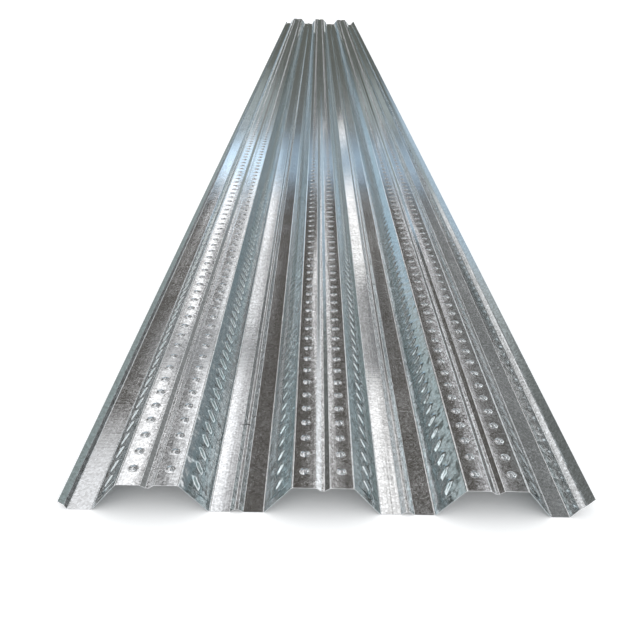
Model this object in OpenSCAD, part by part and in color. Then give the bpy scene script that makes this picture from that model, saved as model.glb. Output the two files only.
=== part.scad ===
// Galvanised steel floor deck sheet, roll formed from one strip of coil.
// The section lies in X and Z, the length runs along Y, and +Z is up.
// The origin is under the middle of the sheet, on the surface that its troughs rest on.

/* [Sheet] */
// Length the sheet is cut to
sheet_length = 9000; // [1000:100:12000]
// Thickness of the galvanised steel
sheet_thickness = 0.9; // [0.6:0.05:1.5]
// Inside radius of the bends between flats and webs
bend_radius = 4; // [1:0.5:7]

/* [Ribs] */
// Number of raised ribs across the sheet
rib_count = 3; // [1:1:4]
// Distance from the middle of one rib to the middle of the next
rib_pitch = 300; // [260:5:360]
// Overall depth, from the underside of a trough to the top of a crest
profile_depth = 60; // [40:1:90]
// Width of a crest between its two corners
crest_width = 107; // [80:1:130]
// Width of a trough between its two corners
trough_width = 96; // [70:1:130]

/* [Stiffeners] */
// Width of the groove along the middle of each crest
groove_width = 24; // [18:1:36]
// Width of the flat floor of that groove
groove_floor = 6; // [2:0.5:9]
// Depth of that groove
groove_depth = 6.5; // [3:0.5:10]
// Width of the bead along the middle of each trough
bead_width = 23; // [18:1:36]
// Width of the flat top of that bead
bead_top = 6; // [2:0.5:9]
// Height of that bead
bead_height = 6.5; // [3:0.5:10]
// Inside radius of the bends of grooves and beads
stiffener_radius = 2.5; // [1:0.25:3]

/* [Side laps] */
// Width of the flange that the left lap rests on
left_flange_width = 43; // [30:1:70]
// Run of the steep upstand at the left edge
left_upstand_run = 4; // [1:0.5:10]
// Rise of that upstand
left_upstand_rise = 10; // [8:1:20]
// Run of the lip that flares from that upstand
left_lip_run = 9; // [4:1:20]
// Rise of that lip
left_lip_rise = 8; // [4:1:16]
// Width of the flange that the right lap rests on
right_flange_width = 34; // [24:1:60]
// Run of the lower strip of the right upstand
right_upstand_run = 13; // [8:1:24]
// Rise of that strip
right_upstand_rise = 19; // [12:1:24]
// Run of the shallower joggle above it
right_joggle_run = 9; // [6:1:14]
// Rise of that joggle
right_joggle_rise = 8; // [4:1:10]
// Run of the lip at the right edge
right_lip_run = 13; // [6:1:20]
// Rise of that lip
right_lip_rise = 17; // [8:1:22]
// Inside radius of the bends of the lips
lip_radius = 2; // [0.5:0.5:3]

/* [Hidden] */
// Flat strips that stand for each rounded bend
bend_steps = 4;
// Neutral line of the strip, halfway through its thickness
half_thickness = sheet_thickness / 2;
trough_z = half_thickness;
crest_z = profile_depth - half_thickness;
web_run = (rib_pitch - crest_width - trough_width) / 2;
flat_bend = bend_radius + half_thickness;
stiffener_bend = stiffener_radius + half_thickness;
lip_bend = lip_radius + half_thickness;
first_rib_x = -rib_pitch * (rib_count - 1) / 2;
left_corner_x = first_rib_x - crest_width / 2 - web_run;
right_corner_x = -left_corner_x;

// Corners are [x, z, bend radius of the neutral line], listed from left to right.

// Corners of a dent across a flat: a groove for a negative height, a bead for a positive one
function dent(x, z, width, flat, height) = [
    [x - width / 2, z, stiffener_bend],
    [x - flat / 2, z + height, stiffener_bend],
    [x + flat / 2, z + height, stiffener_bend],
    [x + width / 2, z, stiffener_bend]
];

function crest(x) = concat(
    [[x - crest_width / 2, crest_z, flat_bend]],
    dent(x, crest_z, groove_width, groove_floor, -groove_depth),
    [[x + crest_width / 2, crest_z, flat_bend]]
);

function trough(x) = concat(
    [[x - trough_width / 2, trough_z, flat_bend]],
    dent(x, trough_z, bead_width, bead_top, bead_height),
    [[x + trough_width / 2, trough_z, flat_bend]]
);

function step(corner, run, rise, radius) = [corner[0] + run, corner[1] + rise, radius];

// Left lap, from the tip of its lip to the foot of the first web
left_outer = [left_corner_x - left_flange_width, trough_z, lip_bend];
left_bend = step(left_outer, -left_upstand_run, left_upstand_rise, lip_bend);
left_tip = step(left_bend, -left_lip_run, left_lip_rise, 0);
left_lap = [left_tip, left_bend, left_outer, [left_corner_x, trough_z, flat_bend]];

// Right lap, from the foot of the last web to the tip of its lip
right_outer = [right_corner_x + right_flange_width, trough_z, lip_bend];
right_bend = step(right_outer, right_upstand_run, right_upstand_rise, lip_bend);
right_top = step(right_bend, right_joggle_run, right_joggle_rise, lip_bend);
right_tip = step(right_top, right_lip_run, right_lip_rise, 0);
right_lap = [[right_corner_x, trough_z, flat_bend], right_outer, right_bend, right_top, right_tip];

// Ribs with the troughs between them
ribs = [
    for (i = [0 : rib_count - 1])
        let (x = first_rib_x + i * rib_pitch)
            each (i < rib_count - 1 ? concat(crest(x), trough(x + rib_pitch / 2)) : crest(x))
];

corners = concat(left_lap, ribs, right_lap);
last = len(corners) - 1;

// Slope of the strip between corner i and the next one
function slope(i) = atan2(corners[i + 1][1] - corners[i][1], corners[i + 1][0] - corners[i][0]);
function along(angle) = [cos(angle), sin(angle)];
function across(angle) = [-sin(angle), cos(angle)];
function place(corner) = [corner[0], corner[1]];

// Neutral line round one bend, as [point, slope] in equal turns about the bend's centre
function bend(i) =
    let (
        start = slope(i - 1),
        turn = slope(i) - start,
        side = sign(turn),
        radius = corners[i][2],
        setback = radius * tan(abs(turn) / 2),
        centre = place(corners[i]) - setback * along(start) + side * radius * across(start)
    ) [
        for (k = [0 : bend_steps])
            let (angle = start + turn * k / bend_steps)
                [centre - side * radius * across(angle), angle]
    ];

neutral_line = concat(
    [[place(corners[0]), slope(0)]],
    [for (i = [1 : last - 1]) each bend(i)],
    [[place(corners[last]), slope(last - 1)]]
);

// The neutral line moved half the thickness to one side
function face(side) = [for (s = neutral_line) s[0] + side * half_thickness * across(s[1])];
function reversed(points) = [for (i = [len(points) - 1 : -1 : 0]) points[i]];
section = concat(face(-1), reversed(face(1)));
section_xs = [for (p = section) p[0]];
middle_x = (min(section_xs) + max(section_xs)) / 2;

// The whole sheet: the bent strip's section carried along the length
module deck_sheet() {
    color("lightsteelblue")
        rotate([90, 0, 0])
            linear_extrude(height = sheet_length, center = true)
                translate([-middle_x, 0])
                    polygon(section);
}

deck_sheet();
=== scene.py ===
import math

import bpy
import numpy as np
from mathutils import Matrix, Vector


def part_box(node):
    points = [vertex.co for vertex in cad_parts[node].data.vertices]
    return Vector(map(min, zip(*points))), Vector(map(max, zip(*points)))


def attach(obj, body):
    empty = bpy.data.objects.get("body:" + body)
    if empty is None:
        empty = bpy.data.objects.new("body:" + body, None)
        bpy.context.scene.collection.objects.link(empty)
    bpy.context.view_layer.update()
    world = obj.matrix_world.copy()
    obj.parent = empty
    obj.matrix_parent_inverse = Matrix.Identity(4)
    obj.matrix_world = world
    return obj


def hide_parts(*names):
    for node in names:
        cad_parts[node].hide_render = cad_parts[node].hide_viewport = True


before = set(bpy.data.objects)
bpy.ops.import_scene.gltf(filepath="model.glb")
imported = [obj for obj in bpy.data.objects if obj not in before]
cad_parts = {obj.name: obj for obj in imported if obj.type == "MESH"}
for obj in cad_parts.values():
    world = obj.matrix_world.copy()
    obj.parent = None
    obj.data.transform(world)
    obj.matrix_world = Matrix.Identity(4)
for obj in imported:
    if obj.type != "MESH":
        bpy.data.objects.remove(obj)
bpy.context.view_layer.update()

# Looks of a galvanised floor deck sheet. The strip of steel is worked out as one surface of two
# parameters: u runs across the strip, along the bent section, and v runs along the length.
# Both faces of the strip, the pressed domes and bars and the cut edges are one closed mesh.

# Sizes of the sheet, in metres. The groove and the bead are a width, the width of their flat and a
# height, and each strip of a side lap is a run and a rise.
MM = 0.001
NODE = "deck_sheet"
node_low, node_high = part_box(NODE)
LENGTH = node_high.y - node_low.y
DEPTH = node_high.z - node_low.z
HALF_THICKNESS = 0.45 * MM
RIB_COUNT = 3
RIB_PITCH = 300 * MM
CREST_WIDTH = 107 * MM
TROUGH_WIDTH = 96 * MM
GROOVE = (24 * MM, 6 * MM, -6.5 * MM)
BEAD = (23 * MM, 6 * MM, 6.5 * MM)
LEFT_FLANGE = 43 * MM
LEFT_STRIPS = ((4 * MM, 10 * MM), (9 * MM, 8 * MM))
RIGHT_FLANGE = 34 * MM
RIGHT_STRIPS = ((13 * MM, 19 * MM), (9 * MM, 8 * MM), (13 * MM, 17 * MM))
FLAT_BEND = 4 * MM + HALF_THICKNESS
STIFFENER_BEND = 2.5 * MM + HALF_THICKNESS
LIP_BEND = 2 * MM + HALF_THICKNESS

# Pressed relief
PLAIN, DOMES, BARS = 0, 1, 2
DOME_PITCH = 45 * MM
DOME_RADIUS = 10.5 * MM
DOME_HEIGHT = 3.4 * MM
BAR_PITCH = 37.5 * MM
BAR_HALF_STRAIGHT = 8 * MM
BAR_HALF_WIDTH = 13 * MM
BAR_HEIGHT = 2.8 * MM
BAR_ANGLE = math.radians(45)
WEB_CROWN = 1.8 * MM
END_MARGIN = 17.5 * MM
PITCH = {DOMES: DOME_PITCH, BARS: BAR_PITCH}

# Fineness of the mesh. The places of the relief's rings are shares of its half width, apart from
# BAR_SIDE_END, which is a share of the bar's half straight.
BEND_STEPS = 4
PLAIN_ROW = 225 * MM
DOME_SIDES = 8
MIDDLE_RING = 0.56
BAR_RIM_CORNER = 0.7
BAR_SIDE = 0.5
BAR_SIDE_END = 0.75
SLOPE_STEP = 0.05 * MM
SAME_LENGTH = 1e-6 * MM

# Zinc crystals: cells to the metre, tones, lean of their faces and roughness
CRYSTAL_SCALE = 260.0
CRYSTAL_TONES = [(0.0, (0.53, 0.53, 0.53)), (1.0, (0.80, 0.81, 0.82))]
CRYSTAL_MIDDLE = (0.5, 0.5, 0.5)
CRYSTAL_LEAN = 0.008
CRYSTAL_ROUGHNESS = (0.04, 0.10)

# Bumps: waves of noise to the metre along x, y and z, the noise's detail, and the depth
STREAKS = ((260.0, 3.0, 260.0), 3.0, 0.1 * MM)
STREAK_STRENGTH = 0.25
RIPPLES = ((6.0, 150.0, 6.0), 3.0, 0.1 * MM)
RIPPLE_STRENGTH = 0.5
DENTS = ((48.0, 48.0, 48.0), 1.0, 1.0 * MM)
WAVES = ((14.0, 1.1, 14.0), 1.0, 0.8 * MM)
WAVE_STRENGTH = 1.0

# Slow changes of gloss, a painted reflection that tints the webs and a painted highlight on the bends. The
# patches and the painted reflection are noise too: its waves to the metre, its detail and, for the patches,
# its roughness.
NOISE_RANGE = (0.3, 0.7)
WHOLE_RANGE = (0.0, 1.0)
PATCHES = ((9.0, 9.0, 9.0), 5.0, 0.65)
PATCH_ROUGHNESS = (0.0, 0.05)
PAINTED_REFLECTION_NOISE = ((70.0, 1.6, 70.0), 2.0)
PAINTED_REFLECTION_SHARE = (0.15, 1.0)
WEB_SHARE = "web_share"
WEB_DULLING = 0.02
# Tint of the webs: a painted teal reflection of the sky, which also darkens them
WEB_PAINTED_REFLECTION = (0.74, 0.86, 0.88)
BEND_SHARE = "bend_share"
BEND_EDGE = 0.1
# Brightening of the bends' colour: a painted highlight
BEND_HIGHLIGHT = (1.22, 1.22, 1.22)

# A dark scratch across the left trough, near the near end
SCRATCH_MIDDLE = (-0.1618, -4.2669, 0.0)
SCRATCH_TURN = -0.49
SCRATCH_HALF = (12.5 * MM, 1.6 * MM, 1.0)
SCRATCH_FADE = 0.2
SCRATCH_TONE = (0.06, 0.06, 0.06)

# Columns of the table of section pieces
START_X, START_Z, SLOPE, RUN, CURVATURE, RELIEF = range(6)

# Sockets of a Mix node that blends colours
MIX_SHARE, MIX_FROM, MIX_TO, MIX_RESULT = 0, 6, 7, 2


def section_corners():
    """Corners of the strip's neutral line from left to right: x, z, bend radius, and the relief that
    the flat after the corner carries. A rib is a crest with a groove, and a bead runs along each trough."""
    trough_z = HALF_THICKNESS
    crest_z = DEPTH - HALF_THICKNESS
    web_run = (RIB_PITCH - CREST_WIDTH - TROUGH_WIDTH) / 2
    first_rib = -RIB_PITCH * (RIB_COUNT - 1) / 2

    def dented_flat(x, z, flat_width, dent, relief):
        width, flat, height = dent
        return [
            (x - flat_width / 2, z, FLAT_BEND, relief),
            (x - width / 2, z, STIFFENER_BEND, PLAIN),
            (x - flat / 2, z + height, STIFFENER_BEND, PLAIN),
            (x + flat / 2, z + height, STIFFENER_BEND, PLAIN),
            (x + width / 2, z, STIFFENER_BEND, relief),
            (x + flat_width / 2, z, FLAT_BEND, BARS),
        ]

    foot = first_rib - CREST_WIDTH / 2 - web_run
    x, z = foot - LEFT_FLANGE, trough_z
    left = [(x, z, LIP_BEND, PLAIN)]
    for run, rise in LEFT_STRIPS:
        x, z = x - run, z + rise
        left.insert(0, (x, z, LIP_BEND, PLAIN))
    corners = left + [(foot, trough_z, FLAT_BEND, BARS)]
    for rib in range(RIB_COUNT):
        middle = first_rib + rib * RIB_PITCH
        corners += dented_flat(middle, crest_z, CREST_WIDTH, GROOVE, DOMES)
        if rib < RIB_COUNT - 1:
            corners += dented_flat(middle + RIB_PITCH / 2, trough_z, TROUGH_WIDTH, BEAD, PLAIN)
    x, z = -foot + RIGHT_FLANGE, trough_z
    corners += [(-foot, trough_z, FLAT_BEND, PLAIN), (x, z, LIP_BEND, PLAIN)]
    for run, rise in RIGHT_STRIPS:
        x, z = x + run, z + rise
        corners.append((x, z, LIP_BEND, PLAIN))
    return corners


def section_pieces(corners):
    """The neutral line as flats and arcs in turn: start x, z and slope, length, curvature and relief of
    each. A flat is shortened at both ends by its bend's setback, and an arc turns at 1 / radius."""
    points = np.array([corner[:2] for corner in corners])
    radius = np.array([corner[2] for corner in corners])
    steps = np.diff(points, axis=0)
    slope = np.arctan2(steps[:, 1], steps[:, 0])
    turn = np.diff(slope)
    setback = np.zeros(len(corners))
    setback[1:-1] = radius[1:-1] * np.tan(np.abs(turn) / 2)
    flat = np.hypot(steps[:, 0], steps[:, 1]) - setback[:-1] - setback[1:]
    start = points[:-1] + setback[:-1, None] * np.c_[np.cos(slope), np.sin(slope)]
    pieces = []
    for i, corner in enumerate(corners[:-1]):
        pieces.append((*start[i], slope[i], flat[i], 0.0, corner[3]))
        if i < len(turn):
            end = start[i] + flat[i] * np.array((np.cos(slope[i]), np.sin(slope[i])))
            bend = radius[i + 1]
            pieces.append((*end, slope[i], bend * abs(turn[i]), np.sign(turn[i]) / bend, PLAIN))
    return np.array(pieces)


PIECES = section_pieces(section_corners())
PIECE_START = np.concatenate([[0.0], np.cumsum(PIECES[:, RUN])])


def piece_at(u, side="right"):
    """Number of the piece that holds u. Where two pieces meet, right is the later one, left the earlier."""
    return np.clip(np.searchsorted(PIECE_START, u, side=side) - 1, 0, len(PIECES) - 1)


def share_along(u):
    """The piece that holds u, and the share of the piece's length that lies before u."""
    index = piece_at(u)
    return index, (u - PIECE_START[index]) / PIECES[index, RUN]


def section_at(u):
    """x, z and slope of the neutral line at u. In a piece with start slope a and curvature k, the point at
    distance s is the start plus a chord of s * sin(k s / 2) / (k s / 2) along the slope a + k s / 2."""
    index = piece_at(u)
    piece = PIECES[index]
    s = u - PIECE_START[index]
    half_turn = piece[..., CURVATURE] * s / 2
    chord = s * np.sinc(half_turn / np.pi)
    chord_slope = piece[..., SLOPE] + half_turn
    x = piece[..., START_X] + chord * np.cos(chord_slope)
    z = piece[..., START_Z] + chord * np.sin(chord_slope)
    return x, z, chord_slope + half_turn


def web_share(u):
    """1 on the webs and at their edges, and 0 elsewhere."""
    before, after = (PIECES[piece_at(u, side), RELIEF] == BARS for side in ("left", "right"))
    return np.maximum(before, after).astype(float)


def bend_share(u):
    """1 inside a bend and 0 at its ends and elsewhere."""
    index, share = share_along(u)
    inside = (PIECES[index, CURVATURE] != 0) & (share > BEND_EDGE) & (share < 1 - BEND_EDGE)
    return inside.astype(float)


def web_crown(u):
    """Height of the crown of a web: the parabola 4 s (1 - s) of the share s of the web's width, which is
    highest in the middle of the web and 0 at its bends."""
    index, share = share_along(u)
    return np.where(PIECES[index, RELIEF] == BARS, WEB_CROWN * 4 * share * (1 - share), 0.0)


def plain_rows():
    """v of the rows of a plain column: the ends, and equal steps between the end margins."""
    steps = round(LENGTH / PLAIN_ROW)
    return np.concatenate([[0.0], np.linspace(END_MARGIN, LENGTH - END_MARGIN, steps + 1), [LENGTH]])


def tile_rows(pitch):
    """v of the lines between relief tiles: one margin at the near end, whole pitches, then the rest."""
    count = int((LENGTH - 2 * END_MARGIN) / pitch)
    return np.concatenate([[0.0], END_MARGIN + pitch * np.arange(count + 1), [LENGTH]])


ROWS = {PLAIN: plain_rows(), DOMES: tile_rows(DOME_PITCH), BARS: tile_rows(BAR_PITCH)}


def relief_height(u, v, kind, middle, lean):
    """Height of the pressed relief. A dome is (1 - r^2)^2 of its radius share r. A bar is the same bell on
    the distance from a short slanted line, so it has round ends, and it stands on the crown of its web."""
    across = u - middle
    pitch = np.where(kind == DOMES, DOME_PITCH, BAR_PITCH)
    along = np.mod(v - END_MARGIN, pitch) - pitch / 2
    dome = np.clip(1 - (across ** 2 + along ** 2) / DOME_RADIUS ** 2, 0, 1)
    a = across * np.cos(BAR_ANGLE) * lean + along * np.sin(BAR_ANGLE)
    b = along * np.cos(BAR_ANGLE) - across * np.sin(BAR_ANGLE) * lean
    beyond = np.maximum(np.abs(a) - BAR_HALF_STRAIGHT, 0)
    bar = np.clip(1 - (beyond ** 2 + b ** 2) / BAR_HALF_WIDTH ** 2, 0, 1)
    height = np.where(kind == DOMES, DOME_HEIGHT * dome ** 2, BAR_HEIGHT * bar ** 2)
    return np.where(kind == PLAIN, 0.0, height) + web_crown(u)


def sheet_point(u, v, kind, middle, lean, side):
    """Point of a face of the sheet: the section's point, moved along its normal by half the thickness to
    one side and by the pressed relief, and carried to v along the length."""
    x, z, slope = section_at(u)
    lift = side * HALF_THICKNESS + relief_height(u, v, kind, middle, lean)
    return np.stack([x - np.sin(slope) * lift, node_low.y + v, z + np.cos(slope) * lift], axis=-1)


def sheet_normal(u, v, kind, middle, lean, side):
    """Normal of that face: the cross product of the surface's slopes along u and along v."""
    ahead = sheet_point(u + SLOPE_STEP, v, kind, middle, lean, side)
    behind = sheet_point(u - SLOPE_STEP, v, kind, middle, lean, side)
    farther = sheet_point(u, v + SLOPE_STEP, kind, middle, lean, side)
    nearer = sheet_point(u, v - SLOPE_STEP, kind, middle, lean, side)
    normal = np.cross(ahead - behind, farther - nearer) * side
    return normal / np.linalg.norm(normal, axis=-1, keepdims=True)


def zip_rows(left, right):
    """Triangles between two columns of vertices with rows of their own: each step of one column takes the
    vertex of the other that is reached when steps are taken in the order of their middles."""
    left_middle = (left[:-1] + left[1:]) / 2
    right_middle = (right[:-1] + right[1:]) / 2
    i = np.arange(len(left) - 1)
    j = np.arange(len(right) - 1)
    apex_right = np.searchsorted(right_middle, left_middle, side="left")
    apex_left = np.searchsorted(left_middle, right_middle, side="right")
    left_steps = np.stack([i, apex_right + len(left), i + 1], axis=1)
    right_steps = np.stack([apex_left, j + len(left), j + 1 + len(left)], axis=1)
    return np.concatenate([left_steps, right_steps])


def bridge(outer, outer_ids, inner, inner_ids):
    """Triangles between two anticlockwise rings: walk round both from their closest pair, and always take
    the shorter of the two next cross lines, or the outer step where both are as long."""
    n, m = len(outer), len(inner)
    gaps = np.linalg.norm(outer[:, None] - inner[None], axis=2)
    first_outer, first_inner = np.unravel_index(np.argmin(gaps), gaps.shape)
    i = j = 0
    triangles = []
    while i < n or j < m:
        a, next_a = (first_outer + i) % n, (first_outer + i + 1) % n
        b, next_b = (first_inner + j) % m, (first_inner + j + 1) % m
        if j == m or (i < n and gaps[next_a, b] <= gaps[a, next_b] + SAME_LENGTH):
            triangles.append((outer_ids[a], outer_ids[next_a], inner_ids[b]))
            i += 1
        else:
            triangles.append((outer_ids[a], inner_ids[next_b], inner_ids[b]))
            j += 1
    return triangles


def circle(radius, count):
    """Points at equal turns round a circle."""
    turns = np.arange(count) * 2 * np.pi / count
    return radius * np.c_[np.cos(turns), np.sin(turns)]


def slanted(points, lean):
    """Points given along and across a bar, turned to the bar's slant on its web."""
    along, across = points.T
    u = along * np.cos(BAR_ANGLE) - across * np.sin(BAR_ANGLE)
    v = along * np.sin(BAR_ANGLE) + across * np.cos(BAR_ANGLE)
    turned = np.c_[u * lean, v]
    return turned if lean > 0 else turned[::-1]


def bar_rings():
    """Rings of one bar, along and across it: the rim, a ring between, and the two ends of the ridge."""
    half = BAR_HALF_WIDTH
    reach = BAR_HALF_STRAIGHT + half
    corner = BAR_RIM_CORNER * half
    shoulder = BAR_HALF_STRAIGHT + corner
    rim = [(reach, 0), (shoulder, corner), (0, half), (-shoulder, corner),
           (-reach, 0), (-shoulder, -corner), (0, -half), (shoulder, -corner)]
    tip = BAR_HALF_STRAIGHT + MIDDLE_RING * half
    side = BAR_SIDE * half
    end = BAR_SIDE_END * BAR_HALF_STRAIGHT
    between_rim_and_ridge = [(tip, 0), (end, side), (-end, side), (-tip, 0), (-end, -side), (end, -side)]
    ridge = [(BAR_HALF_STRAIGHT, 0), (-BAR_HALF_STRAIGHT, 0)]
    return rim, between_rim_and_ridge, ridge


def relief_rings(kind, lean, side):
    """Rings of vertices of one tile's relief, from its rim to its top. The underside has no middle ring."""
    if kind == DOMES:
        rings = [circle(DOME_RADIUS * share, DOME_SIDES) for share in (1, MIDDLE_RING)] + [np.zeros((1, 2))]
    else:
        rings = [slanted(np.array(ring), lean) for ring in bar_rings()]
    return rings if side > 0 else [rings[0], rings[2]]


def tile_template(kind, width, lean, side):
    """One tile: the places of its inner vertices, and its triangles, where 0 to 3 are its corners."""
    half_u, half_v = width / 2, PITCH[kind] / 2
    outer = np.array([(-half_u, -half_v), (half_u, -half_v), (half_u, half_v), (-half_u, half_v)])
    outer_ids = list(range(len(outer)))
    next_id = len(outer)
    triangles = []
    rings = relief_rings(kind, lean, side)
    for ring in rings:
        ring_ids = list(range(next_id, next_id + len(ring)))
        next_id += len(ring)
        if len(ring) == 1:
            count = len(outer_ids)
            triangles += [(outer_ids[k], outer_ids[(k + 1) % count], ring_ids[0]) for k in range(count)]
        else:
            triangles += bridge(outer, outer_ids, ring, ring_ids)
        outer, outer_ids = ring, ring_ids
    return np.concatenate(rings), np.array(triangles)


def section_columns():
    """u of every column of vertices, and for the strip after each column its relief, middle and lean."""
    us, reliefs, middles, leans = [0.0], [], [], []
    for start, (_, _, slope, length, curvature, relief) in zip(PIECE_START, PIECES):
        steps = BEND_STEPS if curvature else 1
        us += [start + length * (k + 1) / steps for k in range(steps)]
        reliefs += [int(relief)] * steps
        middles += [start + length / 2] * steps
        leans += [1 if slope > 0 else -1] * steps
    return np.array(us), reliefs, middles, leans


def layer(side):
    """One face of the sheet: vertices as u, v, relief, middle and lean, its triangles, and the first vertex
    and rows of each column. Columns are zipped where plain, and tiled where there is relief. A tiled column
    has a row at each end of the sheet, and one row more than tiles between them."""
    us, reliefs, middles, leans = section_columns()
    rows = []
    for c in range(len(us)):
        beside = [reliefs[s] for s in (c - 1, c) if 0 <= s < len(reliefs)]
        rows.append(ROWS[max(beside)])
    row_counts = [len(column) for column in rows]
    first = np.concatenate([[0], np.cumsum(row_counts)])
    count = first[-1]
    plain = np.zeros(count)
    blocks = [np.stack([np.repeat(us, row_counts), np.concatenate(rows), plain, plain, plain + 1], axis=1)]
    triangles = []
    for c, (relief, middle, lean) in enumerate(zip(reliefs, middles, leans)):
        if relief == PLAIN:
            zipped = zip_rows(rows[c], rows[c + 1])
            on_left = zipped < row_counts[c]
            triangles.append(zipped + np.where(on_left, first[c], first[c + 1] - row_counts[c]))
            continue
        places, template = tile_template(relief, us[c + 1] - us[c], lean, side)
        tiles = row_counts[c] - 3
        low = first[c] + 1 + np.arange(tiles)
        high = first[c + 1] + 1 + np.arange(tiles)
        inner = count + np.arange(tiles)[:, None] * len(places) + np.arange(len(places))
        ids = np.concatenate([np.stack([low, high, high + 1, low + 1], axis=1), inner], axis=1)
        triangles.append(ids[:, template].reshape(-1, 3))
        for row in (0, row_counts[c] - 2):
            a, b = first[c] + row, first[c + 1] + row
            triangles.append(np.array([(a, b, b + 1), (a, b + 1, a + 1)]))
        centre_v = END_MARGIN + PITCH[relief] * (np.arange(tiles) + 0.5)
        block = np.empty((tiles, len(places), 5))
        block[..., 0] = middle + places[:, 0]
        block[..., 1] = centre_v[:, None] + places[:, 1]
        block[..., 2:] = relief, middle, lean
        blocks.append(block.reshape(-1, 5))
        count += tiles * len(places)
    return np.concatenate(blocks), np.concatenate(triangles), first, rows


def edge_faces(first, rows, below):
    """Triangles of the cut edges, between the upper face and the lower, whose vertices start at below."""
    near = first[:-1]
    far = first[1:] - 1
    left = first[0] + np.arange(len(rows[0]))
    right = first[-2] + np.arange(len(rows[-1]))
    quads = np.concatenate([
        np.stack([run[:-1], run[1:], run[1:] + below, run[:-1] + below], axis=1)
        for run in (near, right, far[::-1], left[::-1])
    ])
    return np.concatenate([quads[:, [0, 3, 1]], quads[:, [1, 3, 2]]])


def deck_sheet_mesh():
    """The whole sheet as one closed mesh with smooth faces and sharp cut edges."""
    upper, upper_triangles, first, rows = layer(1)
    lower, lower_triangles, _, _ = layer(-1)
    points = np.concatenate([sheet_point(*upper.T, 1), sheet_point(*lower.T, -1)])
    normals = np.concatenate([sheet_normal(*upper.T, 1), sheet_normal(*lower.T, -1)])
    points[:, 0] += (node_low.x + node_high.x) / 2 - (points[:, 0].min() + points[:, 0].max()) / 2
    below = len(upper)
    edges = edge_faces(first, rows, below)
    faces = np.concatenate([upper_triangles, lower_triangles[:, ::-1] + below, edges])
    corner_normals = normals[faces]
    a, b, c = (points[edges[:, k]] for k in range(3))
    flat = np.cross(b - a, c - a)
    corner_normals[-len(edges):] = (flat / np.linalg.norm(flat, axis=1, keepdims=True))[:, None]

    mesh = bpy.data.meshes.new(NODE)
    mesh.vertices.add(len(points))
    mesh.vertices.foreach_set("co", points.ravel())
    mesh.loops.add(faces.size)
    mesh.loops.foreach_set("vertex_index", faces.ravel().astype(np.int32))
    mesh.polygons.add(len(faces))
    mesh.polygons.foreach_set("loop_start", np.arange(0, faces.size, 3, dtype=np.int32))
    mesh.update(calc_edges=True)
    mesh.validate()
    mesh.shade_smooth()
    mesh.normals_split_custom_set(corner_normals.reshape(-1, 3))
    across = np.concatenate([upper[:, 0], lower[:, 0]])
    for name, share in ((WEB_SHARE, web_share), (BEND_SHARE, bend_share)):
        attribute = mesh.attributes.new(name, "FLOAT", "POINT")
        attribute.data.foreach_set("value", share(across))
    return mesh


def join(tree, *pairs):
    """Links each pair of sockets, from the first to the second."""
    for source, target in pairs:
        tree.links.new(source, target)


def feed(tree, value, socket):
    """Gives a socket its value, which is a number or another socket."""
    if isinstance(value, (int, float)):
        socket.default_value = value
    else:
        tree.links.new(value, socket)


def add_node(tree, kind, **settings):
    """A new node. Settings that name one of its sockets set that socket, and the others the node itself."""
    node = tree.nodes.new(kind)
    for name, value in settings.items():
        label = name.replace("_", " ")
        if label in node.inputs:
            node.inputs[label].default_value = value
        else:
            setattr(node, name, value)
    return node


def combine(tree, operation, first, second):
    """The result of a Math operation on two values, each a number or a socket."""
    node = add_node(tree, "ShaderNodeMath", operation=operation)
    feed(tree, first, node.inputs[0])
    feed(tree, second, node.inputs[1])
    return node.outputs[0]


def mixed(tree, share, colour, other, blend="MIX"):
    """A colour that goes over to a second, fixed colour by a share."""
    node = add_node(tree, "ShaderNodeMix", data_type="RGBA", blend_type=blend)
    node.inputs[MIX_TO].default_value = (*other, 1)
    join(tree, (share, node.inputs[MIX_SHARE]), (colour, node.inputs[MIX_FROM]))
    return node.outputs[MIX_RESULT]


def colour_steps(tree, value, steps):
    """A colour that follows a value through pairs of place and colour."""
    node = add_node(tree, "ShaderNodeValToRGB")
    elements = node.color_ramp.elements
    elements[0].position, elements[0].color = steps[0][0], (*steps[0][1], 1)
    elements[1].position, elements[1].color = steps[-1][0], (*steps[-1][1], 1)
    for place, colour in steps[1:-1]:
        elements.new(place).color = (*colour, 1)
    tree.links.new(value, node.inputs["Fac"])
    return node.outputs["Color"]


def remap(tree, value, source, target):
    """A value carried from one range to another, and kept inside it."""
    node = add_node(tree, "ShaderNodeMapRange", From_Min=source[0], From_Max=source[1],
                    To_Min=target[0], To_Max=target[1])
    tree.links.new(value, node.inputs["Value"])
    return node.outputs["Result"]


def between(tree, value, low, high, soft):
    """1 where a value lies between two limits and 0 outside, with a smooth change of soft to each side of
    a limit."""
    sides = []
    for limit, sign in ((low, 1), (high, -1)):
        step = add_node(tree, "ShaderNodeMapRange", interpolation_type="SMOOTHSTEP",
                        From_Min=limit - sign * soft, From_Max=limit + sign * soft)
        tree.links.new(value, step.inputs["Value"])
        sides.append(step.outputs["Result"])
    return combine(tree, "MULTIPLY", *sides)


def noise(tree, place, waves, detail, roughness=0.5):
    """Noise with its waves to the metre given along x, y and z."""
    stretch = add_node(tree, "ShaderNodeMapping", Scale=waves)
    texture = add_node(tree, "ShaderNodeTexNoise", Scale=1.0, Detail=detail, Roughness=roughness)
    join(tree, (place, stretch.inputs["Vector"]), (stretch.outputs["Vector"], texture.inputs["Vector"]))
    return texture.outputs["Fac"]


def bump(tree, place, normal, strength, waves, detail, depth):
    """A normal with a bump of noise laid over it."""
    node = add_node(tree, "ShaderNodeBump", Distance=depth)
    feed(tree, strength, node.inputs["Strength"])
    join(tree, (noise(tree, place, waves, detail), node.inputs["Height"]), (normal, node.inputs["Normal"]))
    return node.outputs["Normal"]


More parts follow.
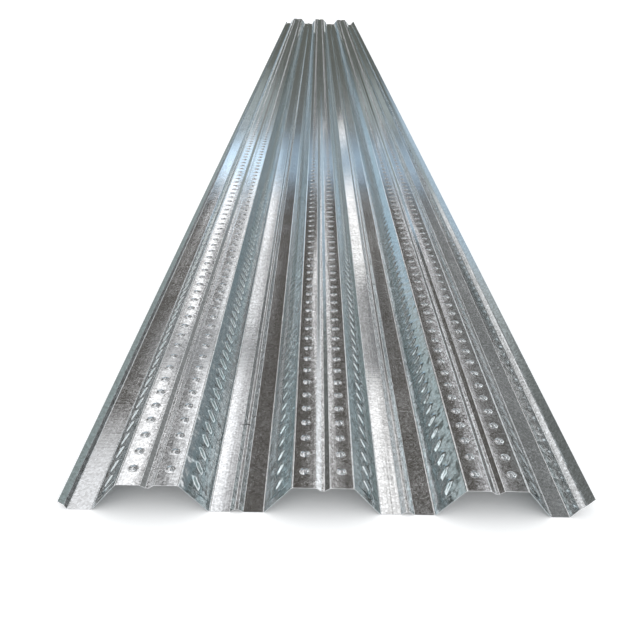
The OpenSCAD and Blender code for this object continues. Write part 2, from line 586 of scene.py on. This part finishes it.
def scratch_share(tree, place):
    """1 along the scratch and 0 elsewhere: the place in the scratch's own frame, counted in half lengths
    and half widths, kept where both are less than 1."""
    own = add_node(tree, "ShaderNodeMapping", vector_type="TEXTURE", Location=SCRATCH_MIDDLE,
                   Rotation=(0.0, 0.0, SCRATCH_TURN), Scale=SCRATCH_HALF)
    parts = add_node(tree, "ShaderNodeSeparateXYZ")
    join(tree, (place, own.inputs["Vector"]), (own.outputs["Vector"], parts.inputs[0]))
    limit = 1 - SCRATCH_FADE
    shares = [between(tree, parts.outputs[part], -limit, limit, SCRATCH_FADE) for part in "XY"]
    return combine(tree, "MULTIPLY", *shares)


def steel_colour(tree, place, crystal, web):
    """Colour of the zinc: a tone for each crystal, a painted reflection of the sky that tints and darkens
    the webs in streaks, a painted highlight that brightens the bends, and the scratch."""
    tone = colour_steps(tree, crystal, CRYSTAL_TONES)
    # The tint on the webs is a painted reflection, broken into streaks by noise
    painted_reflection = combine(tree, "MULTIPLY", remap(tree, noise(tree, place, *PAINTED_REFLECTION_NOISE), NOISE_RANGE, PAINTED_REFLECTION_SHARE), web)
    tinted = mixed(tree, painted_reflection, tone, WEB_PAINTED_REFLECTION, "MULTIPLY")
    # The bends' colour is brightened here: a painted highlight
    bend = add_node(tree, "ShaderNodeAttribute", attribute_name=BEND_SHARE)
    highlighted = mixed(tree, bend.outputs["Fac"], tinted, BEND_HIGHLIGHT, "MULTIPLY")
    return mixed(tree, scratch_share(tree, place), highlighted, SCRATCH_TONE)


def steel_normal(tree, place, crystal, web):
    """Normal of the zinc: each crystal leans its own way. Over that lie rolling streaks along the length,
    fine ripples across it, uneven dents where the bars stretch the webs, and slow waves from the rolls."""
    lean = add_node(tree, "ShaderNodeVectorMath", operation="SUBTRACT")
    lean.inputs[1].default_value = CRYSTAL_MIDDLE
    scaled = add_node(tree, "ShaderNodeVectorMath", operation="SCALE", Scale=CRYSTAL_LEAN)
    surface = add_node(tree, "ShaderNodeNewGeometry")
    tilted = add_node(tree, "ShaderNodeVectorMath", operation="ADD")
    unit = add_node(tree, "ShaderNodeVectorMath", operation="NORMALIZE")
    join(
        tree,
        (crystal, lean.inputs[0]),
        (lean.outputs[0], scaled.inputs[0]),
        (scaled.outputs[0], tilted.inputs[0]),
        (surface.outputs["Normal"], tilted.inputs[1]),
        (tilted.outputs[0], unit.inputs[0]),
    )
    normal = bump(tree, place, unit.outputs[0], STREAK_STRENGTH, *STREAKS)
    normal = bump(tree, place, normal, RIPPLE_STRENGTH, *RIPPLES)
    normal = bump(tree, place, normal, web, *DENTS)
    return bump(tree, place, normal, WAVE_STRENGTH, *WAVES)


def steel_roughness(tree, place, crystal, web):
    """Roughness of the zinc: slow patches over the sheet, shinier and duller crystals, and webs that the
    forming rolls have dulled."""
    patches = remap(tree, noise(tree, place, *PATCHES), NOISE_RANGE, PATCH_ROUGHNESS)
    channels = add_node(tree, "ShaderNodeSeparateColor")
    tree.links.new(crystal, channels.inputs["Color"])
    fine = remap(tree, channels.outputs["Blue"], WHOLE_RANGE, CRYSTAL_ROUGHNESS)
    dulled = combine(tree, "MULTIPLY", web, WEB_DULLING)
    return combine(tree, "ADD", dulled, combine(tree, "ADD", patches, fine))


def galvanised_steel():
    """Hot dip galvanised steel: bare metal whose colour, roughness and normal follow its zinc crystals,
    whose roughness and normal follow the marks of the forming rolls, and whose colour carries the scratch,
    a painted reflection on the webs and a painted highlight on the bends."""
    material = bpy.data.materials.new("galvanised_steel")
    material.use_nodes = True
    tree = material.node_tree
    place = add_node(tree, "ShaderNodeTexCoord").outputs["Object"]
    cells = add_node(tree, "ShaderNodeTexVoronoi", Scale=CRYSTAL_SCALE)
    tree.links.new(place, cells.inputs["Vector"])
    crystal = cells.outputs["Color"]
    web = add_node(tree, "ShaderNodeAttribute", attribute_name=WEB_SHARE).outputs["Fac"]
    shader = tree.nodes["Principled BSDF"]
    shader.inputs["Metallic"].default_value = 1.0
    join(
        tree,
        (steel_colour(tree, place, crystal, web), shader.inputs["Base Color"]),
        (steel_roughness(tree, place, crystal, web), shader.inputs["Roughness"]),
        (steel_normal(tree, place, crystal, web), shader.inputs["Normal"]),
    )
    return material


def build_sheet():
    """The dressed sheet, which stands for the plain solid."""
    sheet = bpy.data.objects.new("deck_sheet_formed", deck_sheet_mesh())
    bpy.context.scene.collection.objects.link(sheet)
    sheet.data.materials.append(galvanised_steel())
    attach(sheet, "root")
    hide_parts(NODE)


WHITE = (1.0, 1.0, 1.0)
FLOOR_HALF = 60.0
FLOOR_COLOUR = (0.8, 0.8, 0.8)
FLOOR_ROUGHNESS = 0.9
FLOOR_GLOW = 0.7
SHADOW_REACH = 0.25


def floor():
    """A wide pale floor under the sheet. What the eye or the metal sees of it glows white, and painted
    shade dims the glow where the sheet is close above, which keeps a shadow under it."""
    corners = FLOOR_HALF * np.array([(-1, -1, 0), (1, -1, 0), (1, 1, 0), (-1, 1, 0)])
    mesh = bpy.data.meshes.new("floor")
    mesh.from_pydata(corners.tolist(), [], [(0, 1, 2, 3)])
    ground = bpy.data.objects.new("floor", mesh)
    bpy.context.scene.collection.objects.link(ground)
    material = bpy.data.materials.new("floor_white")
    material.use_nodes = True
    tree = material.node_tree
    shader = tree.nodes["Principled BSDF"]
    shader.inputs["Base Color"].default_value = (*FLOOR_COLOUR, 1)
    shader.inputs["Roughness"].default_value = FLOOR_ROUGHNESS
    shader.inputs["Specular IOR Level"].default_value = 0.0
    shader.inputs["Emission Color"].default_value = (*WHITE, 1)
    rays = add_node(tree, "ShaderNodeLightPath").outputs
    seen = combine(tree, "MAXIMUM", rays["Is Camera Ray"], rays["Is Glossy Ray"])
    seen = combine(tree, "MAXIMUM", seen, rays["Is Transmission Ray"])
    # Ambient occlusion dims the glow under the sheet: painted shade
    open_share = add_node(tree, "ShaderNodeAmbientOcclusion", Distance=SHADOW_REACH).outputs["AO"]
    glow = combine(tree, "MULTIPLY", seen, combine(tree, "MULTIPLY", open_share, FLOOR_GLOW))
    tree.links.new(glow, shader.inputs["Emission Strength"])
    mesh.materials.append(material)


# Beyond any part of a direction
FAR = 30.0
# The least height that across is reckoned with
LEAST_RISE = 0.05
# Colour of the surround by height, from the horizon to straight above
SURROUND = [
    (0.0, (0.12, 0.13, 0.12)),
    (0.13, (0.13, 0.14, 0.125)),
    (0.2, (0.18, 0.195, 0.19)),
    (0.3, (0.125, 0.117, 0.108)),
    (1.0, (0.125, 0.117, 0.108)),
]
# Panels round the sheet: colour, edge softness, and limits of the direction's parts. x is to the right, y
# is ahead, z is up, and across is x over z, the place across a ceiling. Later panels lie over earlier ones.
PANELS = {
    "pale room behind": (
        (0.38, 0.39, 0.40), 0.1, {"y": (-FAR, -0.1), "z": (-1.2, 0.75)}),
    "dull skylight at the top": (
        (0.16, 0.19, 0.21), 0.08, {"z": (0.86, FAR)}),
    "pale ceiling between the strip lights": (
        (0.34, 0.34, 0.34), 0.02, {"across": (-0.36, -0.26), "z": (0.2, FAR)}),
    "pale ceiling beside the first strip light": (
        (0.60, 0.60, 0.61), 0.01, {"across": (-0.2, -0.146), "z": (0.3, FAR)}),
    "first strip light on the left": (
        (1.60, 1.62, 1.65), 0.008, {"across": (-0.294, -0.188), "z": (0.30, FAR)}),
    "second strip light on the left": (
        (2.20, 2.20, 2.22), 0.010, {"across": (-0.425, -0.366), "z": (0.24, FAR)}),
    "wide light above the near end": (
        (1.10, 1.11, 1.13), 0.04, {"across": (-0.58, -0.40), "z": (0.62, FAR)}),
    "gap beside the second strip light": (
        (0.08, 0.08, 0.08), 0.006, {"across": (-0.360, -0.328), "z": (0.2, FAR)}),
    "gap across the strip lights": (
        (0.38, 0.39, 0.40), 0.04, {"across": (-0.45, -0.15), "z": (0.50, 0.555)}),
    "middle strip light": (
        (2.00, 2.00, 2.02), 0.005, {"across": (0.024, 0.042), "z": (0.22, FAR)}),
    "narrow strip light": (
        (1.75, 1.75, 1.75), 0.006, {"across": (0.147, 0.196), "z": (0.22, FAR)}),
    "slim strip light": (
        (1.30, 1.34, 1.36), 0.004, {"across": (0.282, 0.30), "z": (0.3, FAR)}),
    "gap in the narrow strip light": (
        (0.25, 0.26, 0.27), 0.015, {"across": (0.158, 0.21), "z": (0.43, 0.57)}),
    "faint strip light": (
        (1.70, 1.72, 1.78), 0.006, {"across": (0.398, 0.42), "z": (0.22, FAR)}),
    "pale ceiling on the right": (
        (0.24, 0.25, 0.25), 0.01, {"across": (0.48, 0.58), "z": (0.3, FAR)}),
    "strip light on the right": (
        (1.80, 1.88, 1.94), 0.04, {"across": (0.62, 0.92), "z": (0.2, FAR)}),
    "grey wall on the right": (
        (0.32, 0.33, 0.33), 0.05, {"across": (1.15, 1.4), "z": (0.1, 0.6)}),
    "green grey wall on the right": (
        (0.36, 0.43, 0.43), 0.05, {"across": (1.4, 2.3), "z": (0.1, 0.6)}),
    "high strip light on the left": (
        (1.20, 1.22, 1.24), 0.04, {"across": (-0.9, -0.64), "z": (0.2, FAR)}),
    "strip light on the far left": (
        (1.40, 1.43, 1.45), 0.015, {"across": (-1.39, -1.29), "z": (0.2, FAR)}),
    "low window on the right": (
        (1.25, 1.27, 1.30), 0.03, {"across": (2.3, FAR), "y": (0.1, FAR), "z": (0.16, 0.38)}),
    "low window ahead": (
        (1.00, 1.30, 1.58), 0.02, {"x": (-0.3, -0.045), "y": (0, FAR), "z": (0.245, 0.30)}),
    "dim window ahead": (
        (0.44, 0.60, 0.75), 0.02, {"x": (-0.045, 0.3), "y": (0, FAR), "z": (0.245, 0.30)}),
    "far wall on the left": (
        (0.40, 0.46, 0.46), 0.02, {"x": (-0.3, -0.055), "y": (0, FAR), "z": (0.16, 0.225)}),
    "far wall on the right": (
        (0.40, 0.46, 0.46), 0.02, {"x": (0.055, 0.3), "y": (0, FAR), "z": (0.16, 0.225)}),
    "pale wall on the left": (
        (0.58, 0.64, 0.65), 0.02, {"x": (-FAR, -0.4), "z": (-0.1, 0.165)}),
    "low sky far ahead on the left": (
        (0.55, 0.70, 0.82), 0.05, {"x": (-0.46, -0.2), "y": (0.78, FAR), "z": (-0.1, 0.16)}),
    "pale wall on the right": (
        (0.27, 0.31, 0.33), 0.03, {"x": (0.2, FAR), "z": (-0.1, 0.14)}),
    "large window on the left": (
        (1.40, 1.45, 1.48), 0.04, {"x": (-FAR, -0.66), "y": (0.1, 0.6), "z": (0.05, 0.5)}),
}


def studio():
    """Soft studio light. The metal mirrors a dim surround with long strip lights overhead, and windows and
    walls lower down, all placed by direction. The eye sees a white backdrop in their place."""
    world = bpy.data.worlds.new("studio")
    bpy.context.scene.world = world
    world.use_nodes = True
    tree = world.node_tree
    axes = add_node(tree, "ShaderNodeSeparateXYZ")
    tree.links.new(add_node(tree, "ShaderNodeTexCoord").outputs["Generated"], axes.inputs[0])
    x, y, z = axes.outputs
    across = combine(tree, "DIVIDE", x, combine(tree, "MAXIMUM", z, LEAST_RISE))
    parts = {"x": x, "y": y, "z": z, "across": across}
    colour = colour_steps(tree, z, SURROUND)
    for light, soft, limits in PANELS.values():
        share = 1.0
        for part, (low, high) in limits.items():
            share = combine(tree, "MULTIPLY", share, between(tree, parts[part], low, high, soft))
        colour = mixed(tree, share, colour, light)
    seen = add_node(tree, "ShaderNodeLightPath")
    backdrop = mixed(tree, seen.outputs["Is Camera Ray"], colour, WHITE)
    tree.links.new(backdrop, tree.nodes["Background"].inputs["Color"])


# The camera: sensor in millimetres, focal length and picture width in pixels, then metres and degrees.
# Its place is counted from the middle of the near end, on the floor.
SENSOR_WIDTH = 36.0
FOCAL_PIXELS = 641
IMAGE_PIXELS = 640
SIGHT = 200.0
CAMERA_PITCH = 29.74
CAMERA_YAW = 0.894
CAMERA_ROLL = -1.644
CAMERA_ASIDE = -0.0328
CAMERA_BACK = 0.8057
CAMERA_HEIGHT = 0.8503


def photo_camera():
    """Camera at the photograph's place: above the near end, looking along the length and down."""
    data = bpy.data.cameras.new("camera")
    data.sensor_width = SENSOR_WIDTH
    data.lens = SENSOR_WIDTH * FOCAL_PIXELS / IMAGE_PIXELS
    data.clip_end = SIGHT
    camera = bpy.data.objects.new("camera", data)
    pitch, yaw, roll = (math.radians(angle) for angle in (CAMERA_PITCH, CAMERA_YAW, CAMERA_ROLL))
    side = Vector((math.cos(yaw), -math.sin(yaw), 0))
    ahead = Vector((math.sin(yaw), math.cos(yaw), 0))
    up = Vector((0, 0, 1))
    view = ahead * math.cos(pitch) - up * math.sin(pitch)
    crown = ahead * math.sin(pitch) + up * math.cos(pitch)
    right = side * math.cos(roll) - crown * math.sin(roll)
    top = side * math.sin(roll) + crown * math.cos(roll)
    place = Vector((CAMERA_ASIDE, node_low.y - CAMERA_BACK, CAMERA_HEIGHT))
    camera.matrix_world = Matrix((
        (right.x, top.x, -view.x, place.x),
        (right.y, top.y, -view.y, place.y),
        (right.z, top.z, -view.z, place.z),
        (0, 0, 0, 1),
    ))
    bpy.context.scene.collection.objects.link(camera)
    bpy.context.scene.camera = camera


build_sheet()
floor()
studio()
photo_camera()
bpy.context.scene.view_settings.view_transform = "Standard"
